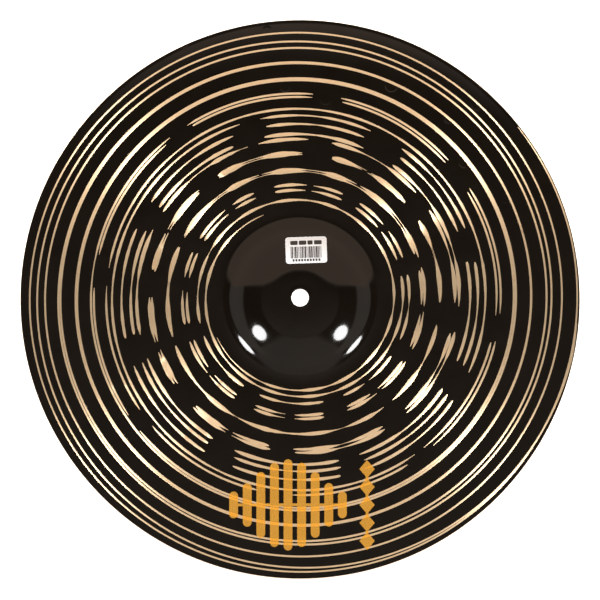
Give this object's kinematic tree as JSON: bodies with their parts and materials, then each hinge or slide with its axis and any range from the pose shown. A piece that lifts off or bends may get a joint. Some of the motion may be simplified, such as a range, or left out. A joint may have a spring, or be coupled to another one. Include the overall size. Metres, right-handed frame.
{
  "type": "crash cymbal",
  "caption": "Thin round bronze disc with a raised bell, a shallow curved bow and a central hole, struck with a stick; dark lathed finish, shown with its underside up.",
  "frame": {"origin": "on the cymbal's axis at the level of the crown's outer flat seat, which rests on the ground while the cymbal lies on its bell", "axes": "+Z along the axis, from the bell towards the open underside; +Y from the printed emblem towards the label inside the bell; +X to the right seen from above the underside"},
  "size_m": [0.4064, 0.4064, 0.0355],
  "materials": {
    "dark_bronze": "cast bronze sheet with a glossy black-brown coat, hammered, with bright lathe lines cut through the coat to bare bronze",
    "label_paper": "smooth white self-adhesive paper",
    "black_ink": "matt black printed ink",
    "amber_ink": "thin amber screen-printed ink, slightly see-through"
  },
  "bodies": {
    "root": {"cymbal_plate": "dark_bronze", "barcode_label": "label_paper", "label_bars": "black_ink", "print_emblem": "amber_ink", "print_side_mark": "amber_ink"}
  },
  "joints": []
}
